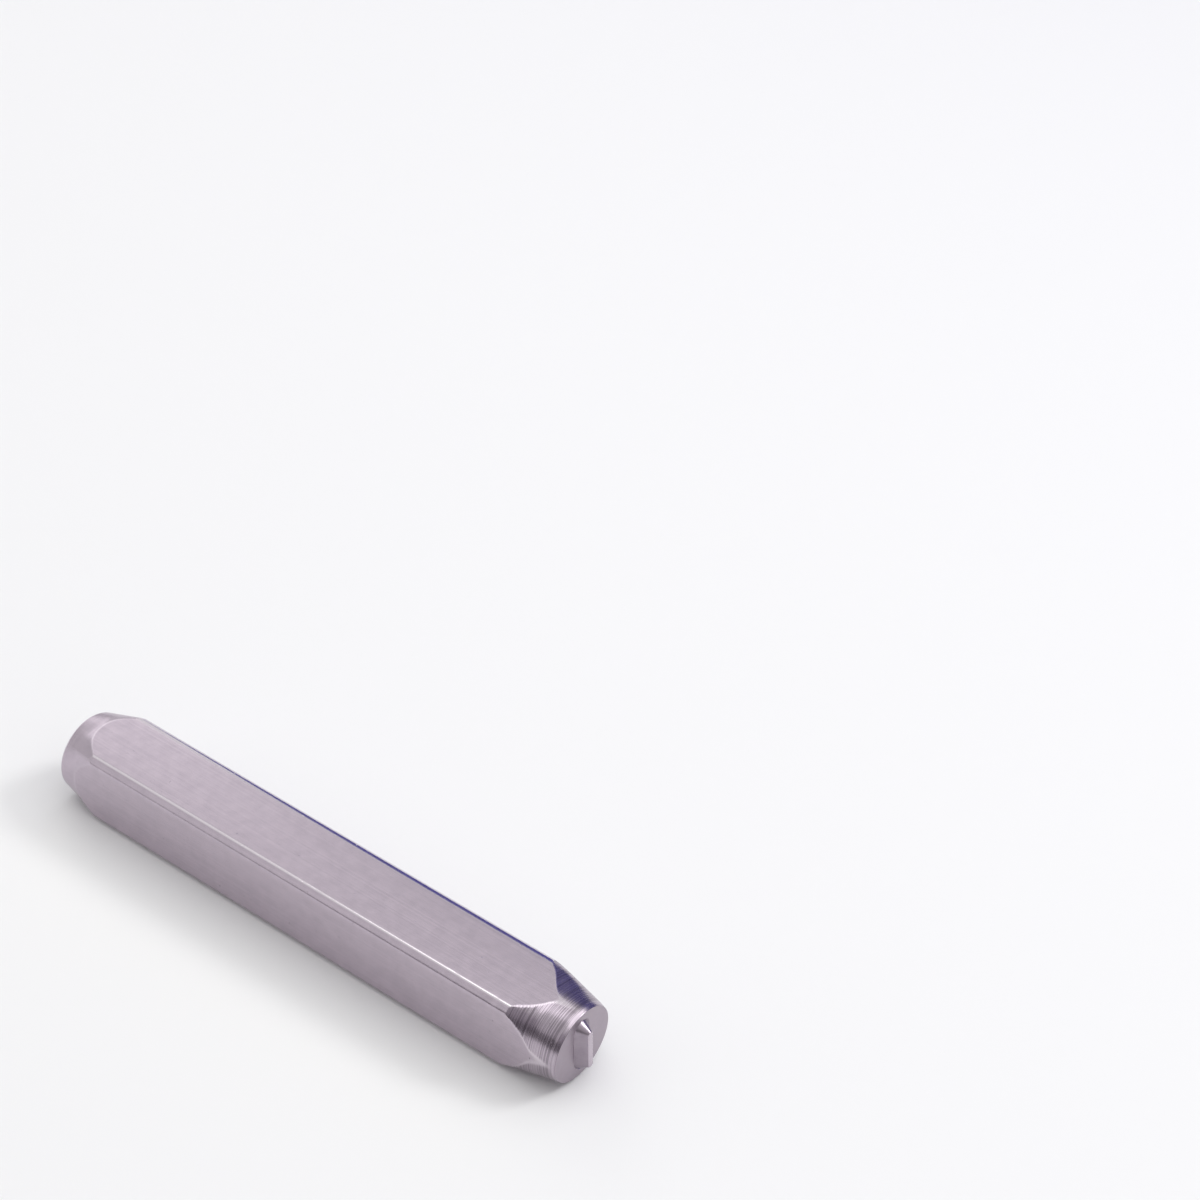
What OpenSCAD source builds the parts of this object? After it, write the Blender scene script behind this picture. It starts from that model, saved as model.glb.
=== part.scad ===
// Steel letter punch lying on one flat of its square shank.
// +X runs along the shank towards the character, +Z is up, and the
// origin is midway along the punch on the surface it lies on.

/* [Shank] */
// Width across the flats of the square shank
shank_w = 9.5; // [7:0.25:14]
// Leg of the flat chamfer along each long corner
corner_c = 0.76; // [0.3:0.02:1.2]
// Length from the struck face to the character face
shank_l = 71; // [50:1:90]

/* [Rounded ends of the flats] */
// Depth to which the ends of the flats are rounded off
skim_in = 0.08; // [0.06:0.01:0.3]
// Half angle of the slope on which that rounding meets the flats
skim_a = 13.5; // [10:0.5:25]
// Distance of each rounding's axis beyond the middle of the bar
skim_d = 6; // [3:0.25:12]

/* [Character end] */
// Half angle of the turned taper that cuts the corners away
taper_a = 12.8; // [9:0.2:20]
// Depth of the taper's rim inside the flats
rim_in = 0.02; // [0:0.02:0.3]
// Length of the bevel between the rim and the face
bevel_l = 0.6; // [0.2:0.05:1]
// Radial width of that bevel
bevel_w = 0.2; // [0.1:0.02:0.6]
// Length from the rounded flats' arcs to the character face
skim_l = 3.65; // [1.5:0.05:6]
// Sideways run-out of the character end, towards -Y
runout_y = 0.05; // [0:0.01:0.05]
// Upward run-out of the character end
runout_z = 0.05; // [0:0.01:0.05]

/* [Character stroke] */
// Bare face left above and below the stroke
stroke_margin = 1.05; // [0.5:0.05:1.8]
// Height of the striking edge above the face
stroke_h = 1.2; // [0.4:0.05:2]
// Width of the flat striking edge
land_w = 0.7; // [0.2:0.05:1]
// Slope of the stroke's flanks away from the striking direction
flank_a = 32; // [15:1:40]
// Turn of the stroke out of line with the side flats
stroke_turn = 4; // [-6:0.5:6]
// Depth of the cut that follows the foot of the stroke
groove_d = 0.12; // [0.05:0.01:0.2]
// Width of that cut beyond the stroke's foot
groove_w = 0.2; // [0.2:0.05:0.45]

/* [Struck end] */
// Half angle of the turned taper on the struck end
struck_a = 17.8; // [12:0.2:30]
// Depth of that taper's rim inside the flats
struck_in = 0; // [0:0.02:0.5]
// Size of the worn bevel round the struck face
struck_bevel = 0.3; // [0.1:0.05:0.6]
// Length from the rounded flats' arcs to the struck face
struck_skim_l = 2; // [1:0.05:5]

/* [Detail] */
// Smoothness of the turned surfaces
$fn = 96; // [48:8:192]

/* [Hidden] */
half_w = shank_w / 2;
flat_w = half_w - corner_c;
clear_r = norm([half_w, flat_w]) + 1.5;
overall_l = shank_l + stroke_h;
struck_x = -overall_l / 2;
face_x = struck_x + shank_l;

face_r = half_w - rim_in - bevel_w;
skim_r = skim_d + half_w - skim_in;
skim_clear_r = norm([skim_d + half_w, half_w]) + 1.5;

// The stroke starts this deep in the body, below the foot cut
sunk = 0.3;
foot_r = land_w / 2 + stroke_h * tan(flank_a);
sunk_r = foot_r + sunk * tan(flank_a);
straight_l = 2 * (face_r - stroke_margin - foot_r);

// Square bar with its four long corners chamfered
module shank_bar() {
    translate([struck_x, 0, half_w])
        rotate([90, 0, 90])
            linear_extrude(height = shank_l)
                polygon([
                    [half_w, -flat_w], [half_w, flat_w],
                    [flat_w, half_w], [-flat_w, half_w],
                    [-half_w, flat_w], [-half_w, -flat_w],
                    [-flat_w, -half_w], [flat_w, -half_w]
                ]);
}

// Round envelope of a turned end, its face at 0 and the bar upwards
module turned_end(rim_r, half_angle, edge_l, edge_w) {
    cone_l = (clear_r - rim_r) / tan(half_angle);
    rotate_extrude()
        polygon([
            [0, 0],
            [rim_r - edge_w, 0],
            [rim_r, edge_l],
            [clear_r, edge_l + cone_l],
            [clear_r, shank_l + 1],
            [0, shank_l + 1]
        ]);
}

// Envelope of one flat's rounded end, its axis beyond the bar's middle
module rounded_flat(arc_l) {
    cone_l = (skim_clear_r - skim_r) / tan(skim_a);
    translate([skim_d, 0, 0])
        rotate_extrude()
            polygon([
                [0, -1],
                [skim_r, -1],
                [skim_r, arc_l],
                [skim_clear_r, arc_l + cone_l],
                [skim_clear_r, shank_l + 1],
                [0, shank_l + 1]
            ]);
}

// What the rounded ends of all four flats have in common
module rounded_flats(arc_l) {
    intersection_for(quarter = [0:3])
        rotate([0, 0, 90 * quarter])
            rounded_flat(arc_l);
}

// Envelope of the whole character end, on its own slightly shifted axis
module character_end() {
    translate([face_x, -runout_y, half_w + runout_z])
        rotate([0, -90, 0])
            intersection() {
                turned_end(half_w - rim_in, taper_a, bevel_l, bevel_w);
                rounded_flats(skim_l);
            }
}

// Envelope of the whole struck end
module struck_end() {
    translate([struck_x, 0, half_w])
        rotate([0, 90, 0])
            intersection() {
                turned_end(half_w - struck_in, struck_a, struck_bevel, struck_bevel);
                rounded_flats(struck_skim_l);
            }
}

// Places the character on the turned axis, Z pointing out of the face
module on_face(depth) {
    translate([face_x - depth, -runout_y, half_w + runout_z])
        rotate([90, 0, 90])
            rotate([0, 0, stroke_turn])
                children();
}

// Shallow round-ended recess that the stroke's foot stands in
module foot_cut() {
    r = foot_r + groove_w;
    on_face(groove_d) {
        for (side = [-1, 1])
            translate([0, side * straight_l / 2, 0])
                cylinder(h = 1, r = r);
        translate([-r, -straight_l / 2, 0])
            cube([2 * r, straight_l, 1]);
    }
}

// Raised straight stroke with sloping flanks and cone-shaped ends
module stroke() {
    h = stroke_h + sunk;
    on_face(sunk) {
        for (side = [-1, 1])
            translate([0, side * straight_l / 2, 0])
                cylinder(h = h, r1 = sunk_r, r2 = land_w / 2);
        translate([0, straight_l / 2, 0])
            rotate([90, 0, 0])
                linear_extrude(height = straight_l)
                    polygon([
                        [-sunk_r, 0], [sunk_r, 0],
                        [land_w / 2, h], [-land_w / 2, h]
                    ]);
    }
}

module punch() {
    color([0.66, 0.62, 0.66]) {
        difference() {
            intersection() {
                shank_bar();
                character_end();
                struck_end();
            }
            foot_cut();
        }
        stroke();
    }
}

punch();
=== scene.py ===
"""Looks of the steel letter punch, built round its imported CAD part."""

import logging
import math
from dataclasses import dataclass, field
from enum import Enum
from typing import Any, Iterable, Sequence

import bpy
import numpy as np
from mathutils import Matrix, Vector


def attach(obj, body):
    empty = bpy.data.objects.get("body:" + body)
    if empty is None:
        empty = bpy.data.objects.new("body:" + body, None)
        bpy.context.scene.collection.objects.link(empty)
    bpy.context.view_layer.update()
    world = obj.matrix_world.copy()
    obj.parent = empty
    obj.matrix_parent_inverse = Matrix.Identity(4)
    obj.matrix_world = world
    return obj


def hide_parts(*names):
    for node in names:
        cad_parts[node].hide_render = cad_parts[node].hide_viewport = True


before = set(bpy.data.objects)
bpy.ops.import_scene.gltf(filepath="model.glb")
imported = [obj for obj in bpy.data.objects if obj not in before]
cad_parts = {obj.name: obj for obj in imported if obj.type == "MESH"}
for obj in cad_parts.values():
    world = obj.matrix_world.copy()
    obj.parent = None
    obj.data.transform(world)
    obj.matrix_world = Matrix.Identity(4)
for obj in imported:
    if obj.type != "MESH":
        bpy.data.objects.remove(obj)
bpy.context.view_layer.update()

LOG = logging.getLogger("letter_punch")
MM = 0.001

Array = np.ndarray
Link = tuple[str, bpy.types.Node, str]


class Surface(Enum):
    """Kinds of surface on the punch, by their material's slot number."""

    BAR = 0
    FACE = 1
    FLANK = 2
    LAND = 3


def linear(hex_code: str) -> tuple[float, float, float, float]:
    """Turns an sRGB hex colour into linear light.

    Args:
        hex_code: Six hex digits, with or without a leading hash.

    Returns:
        Red, green, blue and an alpha of 1.
    """
    digits = hex_code.lstrip("#")
    levels = [int(digits[i : i + 2], 16) / 255 for i in (0, 2, 4)]
    red, green, blue = (
        c / 12.92 if c <= 0.04045 else ((c + 0.055) / 1.055) ** 2.4 for c in levels
    )
    return red, green, blue, 1.0


def add_node(
    tree: bpy.types.NodeTree,
    kind: str,
    settings: dict[str, Any] | None = None,
    inputs: dict[str | int, Any] | None = None,
    links: Sequence[Link | tuple[int, bpy.types.Node, str]] = (),
) -> bpy.types.Node:
    """Adds one shader node with its settings, socket values and links.

    Args:
        tree: Node tree that gets the node.
        kind: Blender's node type name.
        settings: Values of the node's own properties.
        inputs: Socket values by socket name or number.
        links: Socket, node and output name of each link into the node.

    Returns:
        The new node.
    """
    node = tree.nodes.new(kind)
    for name, value in (settings or {}).items():
        setattr(node, name, value)
    for socket, value in (inputs or {}).items():
        node.inputs[socket].default_value = value
    for socket, source, output in links:
        tree.links.new(source.outputs[output], node.inputs[socket])
    return node


def soft_min(first: Array, second: Array, width: float) -> Array:
    """Lower of two radii, with the corner between them rounded off.

    Args:
        first: Radii of one form.
        second: Radii of the other form.
        width: Difference of radius over which the two blend.

    Returns:
        The blended radii, never above the lower of the two.
    """
    share = np.clip(0.5 + 0.5 * (second - first) / width, 0, 1)
    return second * (1 - share) + first * share - width * share * (1 - share)


def smooth_step(low: float, high: float, value: Array) -> Array:
    """Smooth rise from 0 at low to 1 at high."""
    share = np.clip((value - low) / (high - low), 0, 1)
    return share * share * (3 - 2 * share)


@dataclass(frozen=True)
class Nick:
    """A small dent that handling left in the steel, in millimetres.

    Attributes:
        behind: Distance behind the character face.
        angle: Direction round the shank in degrees, 90 being straight up.
        size: Radius along the shank.
        depth: Greatest depth.
        round_share: Radius round the shank as a share of the radius along it.
    """

    behind: float
    angle: float
    size: float
    depth: float
    round_share: float = 1.0


@dataclass
class PunchSizes:
    """Sizes of the punch in millimetres and degrees, as in the part's source."""

    shank_w: float = 9.5
    corner_c: float = 0.76
    shank_l: float = 71.0
    skim_in: float = 0.08
    skim_a: float = 13.5
    skim_d: float = 6.0
    taper_a: float = 12.8
    rim_in: float = 0.02
    bevel_l: float = 0.6
    bevel_w: float = 0.2
    skim_l: float = 3.65
    runout_y: float = 0.05
    runout_z: float = 0.05
    stroke_margin: float = 1.05
    stroke_h: float = 1.2
    land_w: float = 0.7
    flank_a: float = 32.0
    stroke_turn: float = 4.0
    groove_d: float = 0.12
    groove_w: float = 0.2
    struck_a: float = 17.8
    struck_in: float = 0.0
    struck_bevel: float = 0.3
    struck_skim_l: float = 2.0

    @property
    def half_w(self) -> float:
        """Half the width across the flats."""
        return self.shank_w / 2

    @property
    def struck_x(self) -> float:
        """Place of the struck face along the punch."""
        return -(self.shank_l + self.stroke_h) / 2

    @property
    def face_x(self) -> float:
        """Place of the character face along the punch."""
        return self.struck_x + self.shank_l

    @property
    def face_r(self) -> float:
        """Radius of the character face."""
        return self.half_w - self.rim_in - self.bevel_w

    @property
    def foot_r(self) -> float:
        """Half width of the stroke where it meets the face."""
        return self.land_w / 2 + self.stroke_h * math.tan(math.radians(self.flank_a))

    @property
    def straight_l(self) -> float:
        """Length of the stroke between the centres of its two ends."""
        return 2 * (self.face_r - self.stroke_margin - self.foot_r)


@dataclass(frozen=True)
class Corner:
    """How full the character end's taper is at one corner of the shank.

    Attributes:
        angle: Direction of the fullest place in degrees, 90 being straight up.
        share: Share of the full taper that is left there.
        before: Spread of that fullness towards lower angles, in degrees.
        after: Spread of that fullness towards higher angles, in degrees.
    """

    angle: float
    share: float
    before: float
    after: float


@dataclass(frozen=True)
class TurnedEnd:
    """Sizes of one turned end in millimetres and degrees.

    Attributes:
        rim_r: Radius of the rim, where the taper meets the bevel.
        angle: Half angle of the taper.
        edge_l: Length of the bevel.
        edge_w: Radial width of the bevel.
        arc_l: Distance from the face to the arcs on the flats.
    """

    rim_r: float
    angle: float
    edge_l: float
    edge_w: float
    arc_l: float


def seen_circle(turn: Array, radius: float, centre: tuple[float, float]) -> Array:
    """Distance to a circle that isn't centred on the point it is seen from.

    Args:
        turn: Directions from that point.
        radius: Radius of the circle.
        centre: Centre of the circle, seen from that point.

    Returns:
        Distance to the circle in each direction.
    """
    toward = centre[0] * np.cos(turn) + centre[1] * np.sin(turn)
    off = centre[0] ** 2 + centre[1] ** 2
    return toward + np.sqrt(np.maximum(radius**2 - off + toward**2, 0))


@dataclass
class WornShank:
    """Shank, turned ends, face and stroke, one closed skin as the real bar is.

    The skin is a stack of rings round the turned axis. Each ring has one
    radius for each direction, the softened lower of the chamfered square and
    the lathe's envelope, so every edge has its small worn round.

    Attributes:
        sizes: Sizes of the punch.
        long_edges: Blend over the edges of each long chamfer, from the far
            top one round over the near top one.
        turned_edge: Blend where the turned ends meet the flats.
        rim_edge: Blend over the rim of each turned end.
        run_up: Blend where a flat's rounded end starts to rise.
        roundness: Power of the change from each flat's end to the corners.
        lag: How much further back the arcs lie at the far top and near
            bottom corners.
        corners: Fullness of the character end's taper at each corner.
        crown: Rounding of the top flat, in depth for each square millimetre.
        struck_polish: Share of rings and of the bright arcs, a painted highlight, left on
            the struck end.
        wave: Depth of the bar's slow unevenness.
        nicks: Dents left by handling.
    """

    sizes: PunchSizes
    long_edges: tuple[float, float, float, float] = (0.45, 0.2, 0.2, 0.2)
    turned_edge: float = 0.03
    rim_edge: float = 0.04
    run_up: float = 0.012
    roundness: float = 1.3
    lag: float = 1.2
    corners: tuple[Corner, ...] = (
        Corner(34.0, 1.0, 15.0, 24.0),
        Corner(135.0, 0.25, 35.0, 35.0),
        Corner(222.0, 0.9, 24.0, 17.0),
        Corner(315.0, 0.9, 17.0, 17.0),
    )
    crown: float = 0.0035
    struck_polish: float = 0.45
    wave: float = 0.006
    nicks: list[Nick] = field(default_factory=list)

    def directions(self) -> Array:
        """Ring directions, closest together over the shank's long edges.

        Returns:
            Angles in radians round the axis, rising through one turn.
        """
        s = self.sizes
        flat = s.half_w - s.corner_c
        corners = [(s.half_w, flat), (flat, s.half_w)]
        turns = []
        for quarter in range(4):
            for y, z in corners:
                for _ in range(quarter):
                    y, z = -z, y
                turns.append(math.atan2(z - s.runout_z, y + s.runout_y) % math.tau)
        edges = sorted(turns)
        spread = np.array([-2.6, -1.5, -0.9, -0.5, -0.2, 0, 0.2, 0.5, 0.9, 1.5, 2.6])
        dense = [math.radians(v) for v in spread]
        angles: list[float] = []
        for i, edge in enumerate(edges):
            following = edges[(i + 1) % 8] + (math.tau if i == 7 else 0)
            angles += [edge + d for d in dense]
            start, stop = edge + dense[-1], following + dense[0]
            wide = following - edge > math.radians(30)
            angles += list(np.linspace(start, stop, 36 if wide else 5)[1:-1])
        return np.sort(np.array(angles) % math.tau)

    def square(self, turn: Array, softness: float = 1.0) -> Array:
        """Radius of the chamfered square in each direction.

        Args:
            turn: Directions round the turned axis.
            softness: Share of the blend over the long edges that is kept.

        Returns:
            Radii in millimetres.
        """
        s = self.sizes
        chamfer = (2 * s.half_w - s.corner_c) / math.sqrt(2)
        radius = np.full_like(turn, 99.0)
        for i in (0, 2, 4, 6, 1, 3, 5, 7):
            facing = i * math.pi / 4
            reach = chamfer if i % 2 else s.half_w
            reach -= -s.runout_y * math.cos(facing) + s.runout_z * math.sin(facing)
            toward = np.cos(turn - facing)
            if i == 2:
                reach = reach - self.crown * (reach * np.tan(turn - facing)) ** 2
            plane = np.where(toward > 0.2, reach / np.maximum(toward, 0.2), 99.0)
            blend = self.long_edges[i // 2] if i % 2 else 0.1
            radius = soft_min(radius, plane, blend * softness)
        return radius

    def turned_end(
        self, turn: Array, behind: float, end: TurnedEnd, centre: tuple[float, float]
    ) -> Array:
        """Radius of one end's envelope: its taper, bevel and rounded flats.

        Args:
            turn: Directions round the ring's centre.
            behind: Distance behind the end's face.
            end: Sizes of the end.
            centre: Place of the end's axis, seen from the ring's centre.

        Returns:
            Radii in millimetres.
        """
        s = self.sizes
        slope = math.tan(math.radians(s.skim_a))
        run_up = np.logaddexp(0, (behind - end.arc_l) * slope / self.run_up)
        middle = s.half_w - s.skim_in + self.run_up * float(run_up)
        taper = end.rim_r + (behind - end.edge_l) * math.tan(math.radians(end.angle))
        dip = max(taper - middle, 0.0) * np.abs(np.cos(2 * turn)) ** self.roundness
        bevel = end.rim_r - end.edge_w * (1 - behind / end.edge_l)
        body = seen_circle(turn, taper, centre) - dip
        return soft_min(body, seen_circle(turn, bevel, centre), self.rim_edge)

    def stations(self) -> Array:
        """Ring places along the punch, closest together at the turned ends."""
        s = self.sizes
        a, b = s.struck_x, s.face_x
        parts = [
            np.linspace(a, a + 0.6, 9)[:-1],
            np.linspace(a + 0.6, a + 6.6, 46)[:-1],
            np.linspace(a + 6.6, b - 8.8, 116)[:-1],
            np.linspace(b - 8.8, b - 3.4, 64)[:-1],
            np.linspace(b - 3.4, b - 0.9, 13)[:-1],
            np.linspace(b - 0.9, b, 13),
        ]
        return np.concatenate(parts)

    def dents(self, x: float, turn: Array, radius: Array) -> Array:
        """Depth of slow unevenness and nicks at one station.

        Args:
            x: Station along the punch.
            turn: Directions round the turned axis.
            radius: Radii before the dents.

        Returns:
            Depths to take off the radii.
        """
        s = self.sizes
        y, z = radius * np.cos(turn), radius * np.sin(turn)
        waves = (
            np.sin(0.31 * x + 0.9 * y + 0.4)
            + np.sin(0.83 * x - 0.7 * z + 2.1)
            + 0.6 * np.sin(1.9 * x + 1.3 * y - 1.1 * z)
            + 0.4 * np.sin(3.7 * x - 2.2 * y + 1.7 * z + 0.8)
        )
        calm = smooth_step(0, 3, np.array(s.face_x - x))
        depth = self.wave * calm * (waves + 3) / 6
        for nick in self.nicks:
            along = (s.face_x - nick.behind - x) / nick.size
            if abs(along) > 3:
                continue
            swing = np.angle(np.exp(1j * (turn - math.radians(nick.angle))))
            across = swing * radius / (nick.size * nick.round_share)
            depth = depth + nick.depth * np.exp(-(along**2) - across**2)
        return depth

    def stadium(self, turn: Array, half_w: float, half_l: float) -> Array:
        """Radius of a round-ended outline that stands along the stroke.

        Args:
            turn: Directions round the turned axis.
            half_w: Half the outline's width, and its ends' radius.
            half_l: Distance from its middle to the centres of its ends.

        Returns:
            Radii in millimetres.
        """
        swing = turn - math.radians(self.sizes.stroke_turn)
        across, along = np.abs(np.cos(swing)), np.abs(np.sin(swing))
        side = half_w / np.maximum(across, 1e-6)
        root = np.sqrt(np.maximum(half_w**2 - (half_l * across) ** 2, 0))
        end = half_l * along + root
        return np.where(side * along <= half_l, side, end)

    def face_rings(self, turn: Array) -> list[tuple[Array, Array, Surface]]:
        """Rings from the edge of the face inward and up over the stroke.

        Args:
            turn: Directions round the turned axis.

        Returns:
            For each ring its places along the punch, its radii, and the
            surface that leads to it.
        """
        s = self.sizes
        half_l = s.straight_l / 2
        slope = math.tan(math.radians(s.flank_a))
        cut = self.stadium(turn, s.foot_r + s.groove_w, half_l)
        edge = np.full_like(turn, s.face_r)
        rings: list[tuple[Array, Array, Surface]] = []

        def add(lift: float, radius: Array, surface: Surface) -> None:
            rings.append((np.full_like(turn, s.face_x + lift), radius, surface))

        for share in (0.02, 0.12, 0.3, 0.5, 0.7, 0.86, 0.95):
            add(0.0, edge + (cut - edge) * share, Surface.FACE)
        for step, drop in ((0.02, 0.01), (-0.02, 0.5), (-0.06, 0.92), (-0.11, 1.0)):
            out = self.stadium(turn, s.foot_r + s.groove_w + step, half_l)
            add(-s.groove_d * drop, out, Surface.FACE)
        for lift in (-0.10, -0.03, 0.08, 0.25, 0.45, 0.65, 0.85, 1.0, 1.08, 1.14):
            half = s.foot_r - lift * slope
            add(lift, self.stadium(turn, half, half_l), Surface.FLANK)
        for lift, pull in ((1.175, 0.0), (1.195, 0.06), (1.2, 0.14)):
            half = s.foot_r - lift * slope - pull
            add(lift, self.stadium(turn, half, half_l), Surface.LAND)
        land = self.stadium(turn, s.land_w / 2 - 0.14, half_l)
        for share in (0.55, 0.15):
            add(s.stroke_h, land * share, Surface.LAND)
        return rings

    def struck_rings(self, turn: Array) -> list[Array]:
        """Radii of the rings that close the struck face, from its middle out."""
        edge = self.struck_round(turn, self.sizes.struck_x)
        return [edge * share for share in (0.1, 0.3, 0.5, 0.7, 0.85, 0.95, 0.99)]

    def character_round(self, turn: Array, x: float) -> Array:
        """Radius of the character end's envelope at one station.

        Each corner was brought down by hand a little differently, so the
        taper is full at some corners and hollow towards the flats.

        Args:
            turn: Directions round the turned axis.
            x: Station along the punch.

        Returns:
            Radii in millimetres.
        """
        s = self.sizes
        behind = s.face_x - x
        lag = self.lag * np.maximum(np.sin(2 * turn), 0)
        slope, soft = 0.5, 0.1
        rise = soft * np.logaddexp(0, (behind - lag - s.skim_l) * slope / soft)
        hollow = s.half_w - s.skim_in + rise
        full = s.half_w - s.rim_in
        full += (behind - s.bevel_l) * math.tan(math.radians(s.taper_a))
        gap = np.ones_like(turn)
        for corner in self.corners:
            swing = np.angle(np.exp(1j * (turn - math.radians(corner.angle))))
            width = np.radians(np.where(swing < 0, corner.before, corner.after))
            bump = corner.share * np.exp(-((swing / width) ** 2))
            gap = gap * (1 - bump)
        body = hollow + np.maximum(full - hollow, 0) * (1 - gap)
        bevel = np.full_like(turn, s.face_r + s.bevel_w * behind / s.bevel_l)
        return soft_min(body, bevel, self.rim_edge)

    def struck_round(self, turn: Array, x: float) -> Array:
        """Radius of the struck end's envelope at one station."""
        s = self.sizes
        bevel = s.struck_bevel
        end = TurnedEnd(s.half_w - s.struck_in, s.struck_a, bevel, bevel, s.struck_skim_l)
        centre = (s.runout_y, -s.runout_z)
        return self.turned_end(turn, x - s.struck_x, end, centre)

    def build(self) -> bpy.types.Object:
        """Builds the closed skin as one mesh object.

        Returns:
            The object, with its surfaces marked by material number and by
            the attributes that the finishes read.
        """
        s = self.sizes
        turn = self.directions()
        count = len(turn)
        unit_y, unit_z = np.cos(turn), np.sin(turn)
        square = self.square(turn)
        points: list[Array] = []
        turned: list[Array] = []
        worn: list[Array] = []
        surfaces: list[Surface] = []
        none, full = np.zeros(count), np.ones(count)

        def ring(
            x: Array, radius: Array, lathe: Array, rub_and_highlight: Array, surface: Surface
        ) -> None:
            y = radius * unit_y - s.runout_y
            z = radius * unit_z + s.half_w + s.runout_z
            points.append(np.stack([x, y, z], axis=1))
            turned.append(lathe)
            worn.append(rub_and_highlight)
            surfaces.append(surface)

        for radius in self.struck_rings(turn):
            ring(np.full(count, s.struck_x), radius, full, none, Surface.FACE)
        # Rubbed edges count only along the top flat's edges; their near-white colour
        # there is painted highlight on real polish.
        ridge = np.clip((self.square(turn, 0.001) - square) / 0.025, 0, 1)
        ridge *= smooth_step(0.9, 1.1, unit_z / np.maximum(np.abs(unit_y), 0.01))
        for number, x in enumerate(self.stations()):
            front = self.character_round(turn, x)
            back = self.struck_round(turn, x)
            lathe = np.minimum(front, back)
            radius = soft_min(square, lathe, self.turned_edge)
            by_lathe = smooth_step(-0.03, 0.03, square - lathe)
            # The arcs where the flats meet the turned ends get half that colour, a
            # painted highlight along a rubbed edge.
            meet = np.exp(-(((square - lathe) / 0.02) ** 2))
            kept = 1.0 if x > 0 else self.struck_polish
            rub_and_highlight = np.clip(ridge * (1 - by_lathe) + 0.5 * kept * meet, 0, 1)
            radius = radius - self.dents(x, turn, radius)
            surface = Surface.BAR if number else Surface.FACE
            ring(np.full(count, x), radius, by_lathe * kept, rub_and_highlight, surface)
        for place, radius, surface in self.face_rings(turn):
            ring(place, radius, full, none, surface)
        layers = {"turned": turned, "worn": worn}
        return self.skin(points, layers, surfaces)

    def skin(
        self,
        points: list[Array],
        layers: dict[str, list[Array]],
        surfaces: list[Surface],
    ) -> bpy.types.Object:
        """Joins the rings into one closed mesh.

        Args:
            points: Ring points, ring by ring.
            layers: Shares of lathe finish, and of rubbed edges with their painted
                highlight, at each point.
            surfaces: Surface that leads to each ring.

        Returns:
            The mesh object.
        """
        count, rings = len(points[0]), len(points)
        verts = np.concatenate(points)
        first, last = verts[:count].mean(axis=0), verts[-count:].mean(axis=0)
        verts = np.concatenate([verts, [first, last]]) * MM
        step = np.arange(count)
        after = (step + 1) % count
        faces: list[tuple[int, ...]] = []
        slots: list[int] = []
        for k in range(rings - 1):
            low, high = k * count, (k + 1) * count
            for i, j in zip(step.tolist(), after.tolist()):
                faces.append((low + i, low + j, high + j, high + i))
            slots += [surfaces[k + 1].value] * count
        top, bottom = rings * count + 1, rings * count
        base = (rings - 1) * count
        for i, j in zip(step.tolist(), after.tolist()):
            faces.append((base + i, base + j, top))
            faces.append((j, i, bottom))
        slots += [Surface.LAND.value, Surface.FACE.value] * count
        mesh = bpy.data.meshes.new("punch_body")
        mesh.from_pydata(verts.tolist(), [], faces)
        mesh.polygons.foreach_set("material_index", slots)
        mesh.polygons.foreach_set("use_smooth", [True] * len(faces))
        for name, values in layers.items():
            layer = mesh.attributes.new(name, "FLOAT", "POINT")
            layer.data.foreach_set("value", np.append(np.concatenate(values), [0, 0]))
        mesh.update()
        body = bpy.data.objects.new("punch_body", mesh)
        bpy.context.scene.collection.objects.link(body)
        return body


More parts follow.
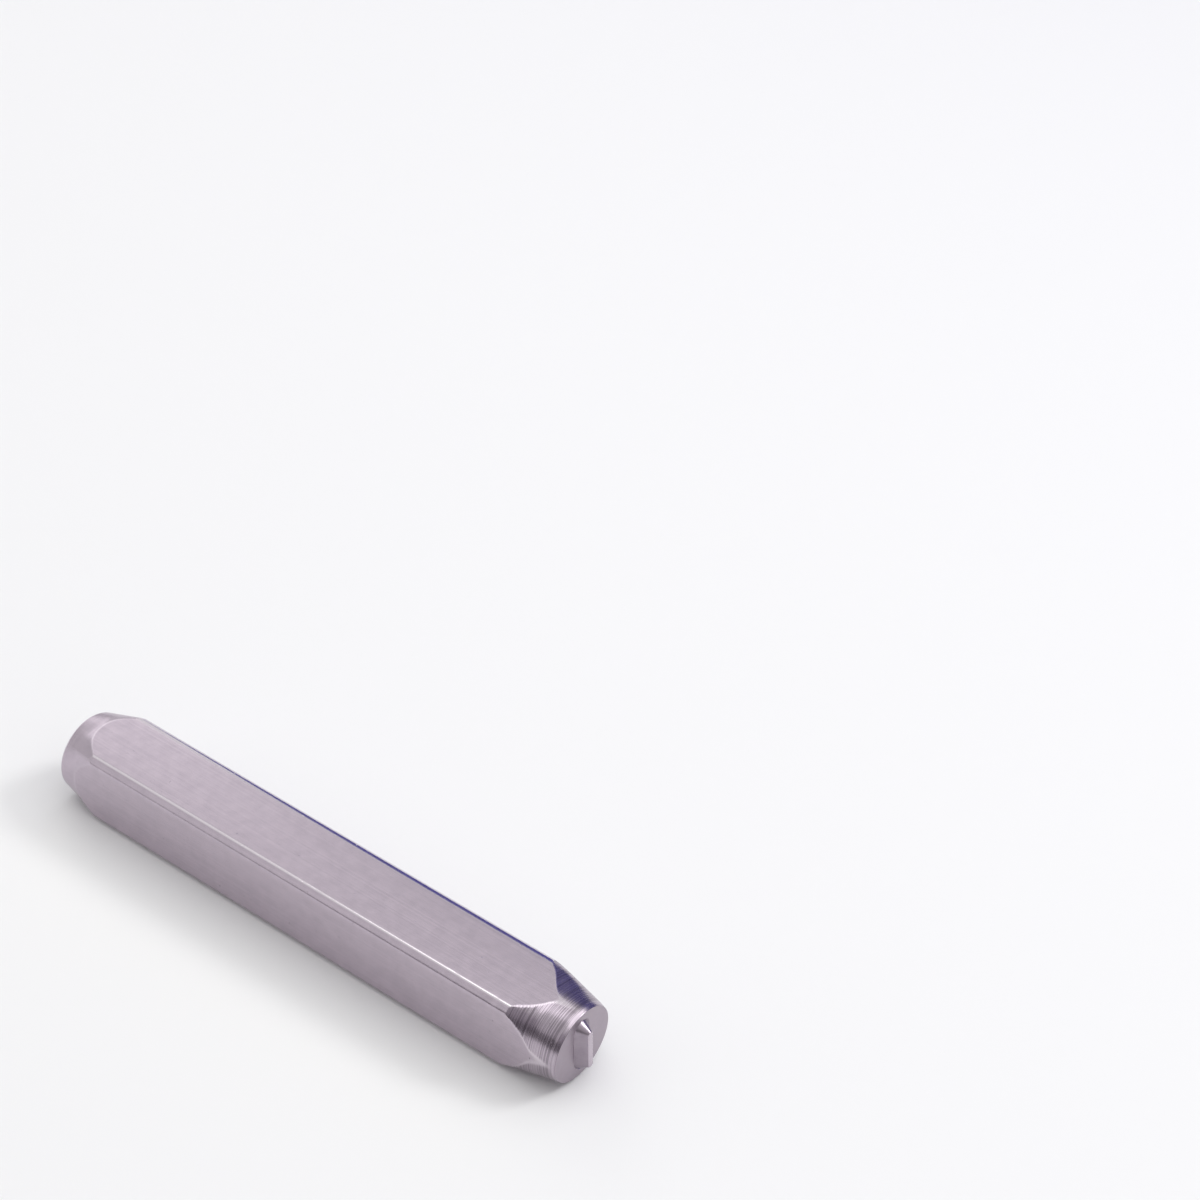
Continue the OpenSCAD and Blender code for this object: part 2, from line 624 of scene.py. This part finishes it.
@dataclass(frozen=True)
class DrawnSteel:
    """Bright drawn tool steel bar with turned ends.

    The flats keep the fine lengthwise lines of the drawing die and a few
    small pits. The tapers keep the lathe's fine rings. Handling has polished
    the edges, so they show as thin bright or dark lines; the near-white
    colour laid only on the top edges and along the arcs is painted highlight
    on that polish. Oxide stays in the lathe's grooves, and painted shade adds
    to it there, so the grooves are a shade darker than the ridges between them.
    """

    name: str = "tool_steel_drawn_and_turned"
    light: str = "#c6bac5"
    dark: str = "#b9aeb9"
    # Near-white colour of the rubbed top edges and arcs: real polish with painted
    # highlight.
    edge: str = "#f0e8ef"
    stain: str = "#968c97"
    # Groove colour: oxide in the lathe's grooves with painted shade added in the same
    # hollows.
    groove: str = "#968c96"
    roughness: float = 0.27
    worn_roughness: float = 0.15
    line_gap: float = 0.16
    ring_gap: float = 0.12
    mottle: float = 1.3
    pit: float = 0.42
    ring_depth: float = 0.02

    def build(self) -> bpy.types.Material:
        """Makes the material."""
        material = bpy.data.materials.new(self.name)
        material.use_nodes = True
        tree = material.node_tree
        tree.nodes.clear()
        place = add_node(tree, "ShaderNodeTexCoord")
        turned = add_node(tree, "ShaderNodeAttribute", {"attribute_name": "turned"})
        worn = add_node(tree, "ShaderNodeAttribute", {"attribute_name": "worn"})
        across = 1 / (self.line_gap * MM)
        lines = self.noise(tree, place, (20.0, across, across), 3.0)
        rings = self.noise(tree, place, (1 / (self.ring_gap * MM), 25.0, 25.0), 1.0)
        even = 1 / (self.mottle * MM)
        blotch = self.noise(tree, place, (even, even, even), 4.0)
        fine = 1 / (self.pit * MM)
        pits = self.noise(tree, place, (fine, fine, fine), 1.0)
        pit_mask = add_node(
            tree,
            "ShaderNodeMapRange",
            None,
            {"From Min": 0.76, "From Max": 0.84},
            [("Value", pits, "Fac")],
        )
        grain = add_node(
            tree,
            "ShaderNodeMix",
            {"data_type": "FLOAT"},
            None,
            [(0, turned, "Fac"), (2, lines, "Fac"), (3, rings, "Fac")],
        )
        tone = add_node(
            tree,
            "ShaderNodeMath",
            {"operation": "ADD"},
            None,
            [(0, grain, "Result"), (1, blotch, "Fac")],
        )
        share = add_node(
            tree,
            "ShaderNodeMapRange",
            None,
            {"From Min": 0.7, "From Max": 1.3},
            [("Value", tone, "Value")],
        )
        base = add_node(
            tree,
            "ShaderNodeMix",
            {"data_type": "RGBA"},
            {6: linear(self.dark), 7: linear(self.light)},
            [(0, share, "Result")],
        )
        stained = add_node(
            tree,
            "ShaderNodeMix",
            {"data_type": "RGBA"},
            {7: linear(self.stain)},
            [(0, pit_mask, "Result"), (6, base, "Result")],
        )
        scored = add_node(
            tree,
            "ShaderNodeMath",
            {"operation": "MULTIPLY"},
            None,
            [(0, rings, "Fac"), (1, turned, "Fac")],
        )
        # Darker colour in the lathe's grooves: oxide, with painted shade added there.
        grooves = add_node(
            tree,
            "ShaderNodeMapRange",
            None,
            {"From Min": 0.44, "From Max": 0.6},
            [("Value", scored, "Value")],
        )
        tinted = add_node(
            tree,
            "ShaderNodeMix",
            {"data_type": "RGBA"},
            {7: linear(self.groove)},
            [(0, grooves, "Result"), (6, stained, "Result")],
        )
        # Near-white edge colour: painted highlight along the top edges and arcs, over
        # real polish.
        coloured = add_node(
            tree,
            "ShaderNodeMix",
            {"data_type": "RGBA"},
            {7: linear(self.edge)},
            [(0, worn, "Fac"), (6, tinted, "Result")],
        )
        rough = add_node(
            tree,
            "ShaderNodeMapRange",
            None,
            {"To Min": self.roughness, "To Max": self.worn_roughness},
            [("Value", worn, "Fac")],
        )
        sunk = add_node(
            tree,
            "ShaderNodeMath",
            {"operation": "SUBTRACT"},
            None,
            [(0, pit_mask, "Result"), (1, scored, "Value")],
        )
        bump = add_node(
            tree,
            "ShaderNodeBump",
            None,
            {"Strength": 1.0, "Distance": self.ring_depth * MM},
            [("Height", sunk, "Value")],
        )
        shader = add_node(
            tree,
            "ShaderNodeBsdfPrincipled",
            None,
            {"Metallic": 1.0},
            [
                ("Base Color", coloured, "Result"),
                ("Roughness", rough, "Result"),
                ("Normal", bump, "Normal"),
            ],
        )
        add_node(
            tree, "ShaderNodeOutputMaterial", None, None, [("Surface", shader, "BSDF")]
        )
        return material

    def noise(
        self,
        tree: bpy.types.NodeTree,
        place: bpy.types.Node,
        scale: tuple[float, float, float],
        detail: float,
    ) -> bpy.types.Node:
        """Adds noise stretched along the punch or round it.

        Args:
            tree: Node tree that gets the noise.
            place: Texture coordinates.
            scale: Noise cells a metre along X, Y and Z.
            detail: Octaves of the noise.

        Returns:
            The noise node.
        """
        stretch = add_node(
            tree,
            "ShaderNodeMapping",
            None,
            {"Scale": scale},
            [("Vector", place, "Object")],
        )
        return add_node(
            tree,
            "ShaderNodeTexNoise",
            None,
            {"Scale": 1.0, "Detail": detail, "Roughness": 0.55},
            [("Vector", stretch, "Vector")],
        )


@dataclass(frozen=True)
class FacedSteel:
    """Tool steel faced on the lathe and dulled a little by hardening.

    It shows as an even soft grey with a faint cloud in its tone.
    """

    name: str = "tool_steel_faced_and_hardened"
    light: str = "#b0a5af"
    dark: str = "#a499a3"
    roughness: float = 0.33

    def build(self) -> bpy.types.Material:
        """Makes the material."""
        material = bpy.data.materials.new(self.name)
        material.use_nodes = True
        tree = material.node_tree
        tree.nodes.clear()
        place = add_node(tree, "ShaderNodeTexCoord")
        cloud = add_node(
            tree,
            "ShaderNodeTexNoise",
            None,
            {"Scale": 900.0, "Detail": 4.0, "Roughness": 0.6},
            [("Vector", place, "Object")],
        )
        base = add_node(
            tree,
            "ShaderNodeMix",
            {"data_type": "RGBA"},
            {6: linear(self.dark), 7: linear(self.light)},
            [(0, cloud, "Fac")],
        )
        shader = add_node(
            tree,
            "ShaderNodeBsdfPrincipled",
            None,
            {"Metallic": 1.0, "Roughness": self.roughness},
            [("Base Color", base, "Result")],
        )
        add_node(
            tree, "ShaderNodeOutputMaterial", None, None, [("Surface", shader, "BSDF")]
        )
        return material


@dataclass
class LetterPunch:
    """The whole punch: its worn body and the finishes on it.

    Attributes:
        sizes: Sizes of the punch.
        drawn: Finish of the shank and the turned cones.
        faced: Finish of the two end faces.
        engraved: Finish of the stroke's flanks, a darker copy of the faced steel whose
            darkness is painted shade.
        struck: Finish of the striking edge, the stroke's land, a lighter copy of the
            faced steel whose lightness is painted highlight.
    """

    sizes: PunchSizes = field(default_factory=PunchSizes)
    drawn: DrawnSteel = DrawnSteel()
    faced: FacedSteel = FacedSteel()
    # The flanks take a darker copy of the faced steel: painted shade.
    engraved: FacedSteel = FacedSteel(
        "tool_steel_flanks_painted_shade", "#b0a5af", "#8f8490", 0.3
    )
    # The land takes a lighter copy of the faced steel: painted highlight.
    struck: FacedSteel = FacedSteel(
        "tool_steel_land_painted_highlight", "#cdc2cc", "#baafb9", 0.24
    )

    def build(self) -> bpy.types.Object:
        """Builds and dresses the punch, and ties it to the CAD frame."""
        nicks = [
            Nick(8.5, 134.0, 0.5, 0.03),
            Nick(14.0, 131.0, 0.3, 0.04),
            Nick(22.0, 136.0, 0.25, 0.03),
            Nick(33.0, 133.0, 0.35, 0.03),
            Nick(11.0, 185.0, 0.7, 0.02),
            Nick(7.5, 174.0, 0.5, 0.025),
        ]
        body = WornShank(self.sizes, nicks=nicks).build()
        for finish in (self.drawn, self.faced, self.engraved, self.struck):
            body.data.materials.append(finish.build())
        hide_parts("punch")
        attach(body, "root")
        LOG.info("%s: %d faces", body.name, len(body.data.polygons))
        return body


@dataclass
class Studio:
    """Pale floor, soft light and the camera at the photograph's angle."""

    lens: float = 99.0
    centre: tuple[float, float, float] = (170.6, -190.8, 261.4)
    right: tuple[float, float, float] = (0.79342, 0.60740, 0.03933)
    up: tuple[float, float, float] = (-0.41457, 0.49194, 0.76558)
    back: tuple[float, float, float] = (0.44567, -0.62373, 0.64213)

    def camera(self) -> bpy.types.Object:
        """Sets the camera up."""
        data = bpy.data.cameras.new("camera")
        data.sensor_fit = "HORIZONTAL"
        data.sensor_width = 36.0
        data.lens = self.lens
        data.clip_start, data.clip_end = 0.01, 10.0
        camera = bpy.data.objects.new("camera", data)
        axes = Matrix((self.right, self.up, self.back)).transposed()
        place = Vector(self.centre) * MM
        camera.matrix_world = Matrix.Translation(place) @ axes.to_4x4()
        bpy.context.scene.collection.objects.link(camera)
        bpy.context.scene.camera = camera
        return camera

    def sheet(
        self, name: str, corners: Sequence[tuple[float, float, float]], colour: str
    ) -> bpy.types.Object:
        """Sets up one flat matt sheet of the studio.

        Args:
            name: The sheet's name.
            corners: Its corners in metres.
            colour: Its sRGB colour.

        Returns:
            The sheet.
        """
        mesh = bpy.data.meshes.new(name)
        mesh.from_pydata(list(corners), [], [tuple(range(len(corners)))])
        sheet = bpy.data.objects.new(name, mesh)
        bpy.context.scene.collection.objects.link(sheet)
        material = bpy.data.materials.new(f"{name}_matt")
        material.use_nodes = True
        shader = material.node_tree.nodes["Principled BSDF"]
        shader.inputs["Base Color"].default_value = linear(colour)
        shader.inputs["Roughness"].default_value = 0.9
        mesh.materials.append(material)
        return sheet

    def lamp(
        self, name: str, place: Iterable[float], size: float, power: float
    ) -> bpy.types.Object:
        """Hangs one soft square lamp that looks at the punch.

        Args:
            name: The lamp's name.
            place: Its place in metres.
            size: Its side in metres.
            power: Its power in watts.

        Returns:
            The lamp.
        """
        data = bpy.data.lights.new(name, "AREA")
        data.shape = "SQUARE"
        data.size = size
        data.energy = power
        lamp = bpy.data.objects.new(name, data)
        lamp.location = Vector(tuple(place))
        aim = -lamp.location
        lamp.rotation_mode = "QUATERNION"
        lamp.rotation_quaternion = aim.to_track_quat("-Z", "Y")
        bpy.context.scene.collection.objects.link(lamp)
        return lamp

    def world(self) -> None:
        """Surrounds the punch with an even pale light."""
        world = bpy.data.worlds.new("studio")
        world.use_nodes = True
        tree = world.node_tree
        shader = tree.nodes["Background"]
        shader.inputs["Color"].default_value = (1, 1, 1, 1)
        shader.inputs["Strength"].default_value = 0.7
        bpy.context.scene.world = world

    def build(self) -> None:
        """Builds the studio."""
        self.camera()
        self.sheet("floor", [(-2, -2, 0), (2, -2, 0), (2, 2, 0), (-2, 2, 0)], "#f1f1f1")
        self.sheet(
            "dark_front",
            [(-0.3, -0.55, 0), (0.6, -0.55, 0), (0.6, -0.55, 0.3), (-0.3, -0.55, 0.3)],
            "#6a656a",
        )
        self.sheet(
            "grey_front",
            [
                (-0.17, -0.55, 0.3),
                (0.6, -0.55, 0.3),
                (0.6, -0.55, 0.75),
                (-0.17, -0.55, 0.75),
            ],
            "#a5a0a5",
        )
        self.sheet(
            "dark_back",
            [(-0.34, 0.5, 0), (1.0, 0.5, 0), (1.0, 0.5, 0.4), (-0.34, 0.5, 0.4)],
            "#58559a",
        )
        self.world()
        self.lamp("top_lamp", (0.1, 0.2, 0.83), 0.9, 2.8)
        self.lamp("left_lamp", (-0.78, 0.5, 0.55), 0.5, 0.55)
        self.lamp("front_lamp", (-0.46, -0.72, 0.56), 0.32, 0.08)
        self.lamp("side_lamp", (0.5, 0.55, 0.68), 0.25, 2.4)
        bpy.context.scene.view_settings.view_transform = "Standard"


def main() -> None:
    """Builds the punch and its studio."""
    logging.basicConfig(level=logging.INFO, format="%(name)s: %(message)s")
    LetterPunch().build()
    Studio().build()


if __name__ == "__main__":
    main()
